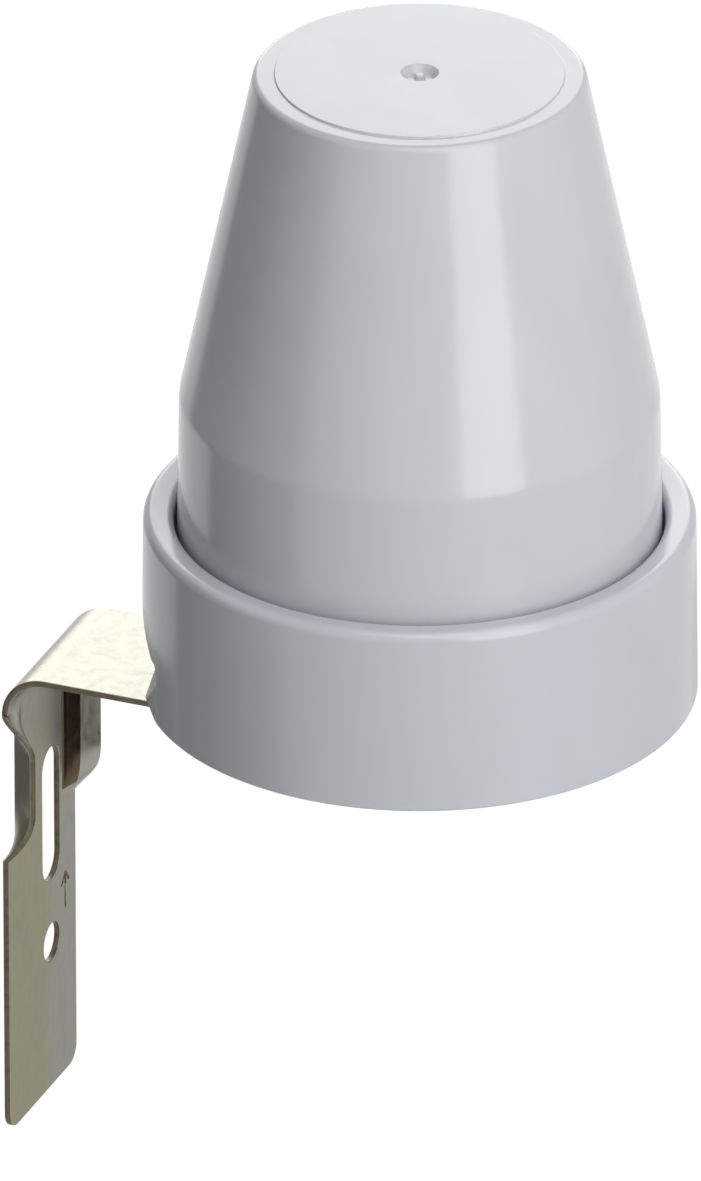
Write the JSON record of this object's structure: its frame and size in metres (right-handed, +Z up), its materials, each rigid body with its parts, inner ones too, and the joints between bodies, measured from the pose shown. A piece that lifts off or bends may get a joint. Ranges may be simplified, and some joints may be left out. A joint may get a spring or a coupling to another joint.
{
  "type": "light sensor",
  "caption": "Outdoor light sensor with a tall conical cap on a round base, swivelling on an L-shaped pressed steel wall bracket with a slot and a hole.",
  "frame": {"origin": "centre of the bracket's round screw hole, on the bracket's face against the wall", "axes": "+X away from the wall, +Z up along the base's own axis, +Y to the right seen from the wall"},
  "size_m": [0.0924, 0.075, 0.1638],
  "materials": {
    "cap_plastic": "satin-gloss moulded light grey plastic",
    "base_plastic": "satin-gloss moulded light grey plastic",
    "bracket_steel": "zinc-plated steel with a pale yellow passivation",
    "zinc_hardware": "bright zinc-plated steel",
    "black_rubber": "black moulded rubber",
    "red_fibre": "pressed red fibre",
    "board_laminate": "tan paper laminate",
    "relay_case_blue": "glossy blue plastic",
    "relay_base_dark": "dark blue-black plastic",
    "film_box_yellow": "glossy yellow plastic box",
    "can_sleeve": "shrunk dark sleeve on an aluminium can",
    "varistor_blue": "dipped blue epoxy",
    "component_black": "moulded black epoxy",
    "zener_glass": "orange glass body",
    "resistor_body": "beige lacquer with colour bands",
    "power_body": "grey cement lacquer",
    "tinned_wire": "tinned copper",
    "solder": "solder",
    "photocell_face": "pale disc with a sensing track under lacquer",
    "tower_white": "white moulded plastic"
  },
  "bodies": {
    "bracket": {"wall_bracket": "bracket_steel"},
    "housing": {"seal_ring": "black_rubber", "base": "base_plastic", "cable_grommet": "black_rubber", "friction_pad": "red_fibre", "pivot_screw": "zinc_hardware", "pivot_nut": "zinc_hardware", "flat_washer": "zinc_hardware", "spring_washer": "zinc_hardware", "circuit_board": "board_laminate", "board_screws": "zinc_hardware", "wire_eyelets": "tinned_wire", "relay_case": "relay_case_blue", "relay_base": "relay_base_dark", "relay_pins": "tinned_wire", "film_capacitor": "film_box_yellow", "film_capacitor_leads": "tinned_wire", "electrolytic_capacitor": "can_sleeve", "electrolytic_leads": "tinned_wire", "varistor": "varistor_blue", "varistor_leads": "tinned_wire", "rectifier_diodes": "component_black", "zener_diode": "zener_glass", "resistors": "resistor_body", "power_resistor": "power_body", "axial_leads": "tinned_wire", "transistors": "component_black", "transistor_leads": "tinned_wire", "photocell": "photocell_face", "photocell_leads": "tinned_wire", "photocell_tower": "tower_white", "solder_joints": "solder"},
    "cap": {"cap": "cap_plastic"}
  },
  "joints": [
    {"name": "housing_swivel", "type": "hinge", "parent": "bracket", "child": "housing", "pos_m": [0.0549, 0, 0.048], "axis": [0, 0, 1], "range_deg": [-90, 90]},
    {"name": "cap_lift", "type": "slide", "parent": "housing", "child": "cap", "axis": [0, 0, 1], "range_m": [0, 0.065]}
  ]
}
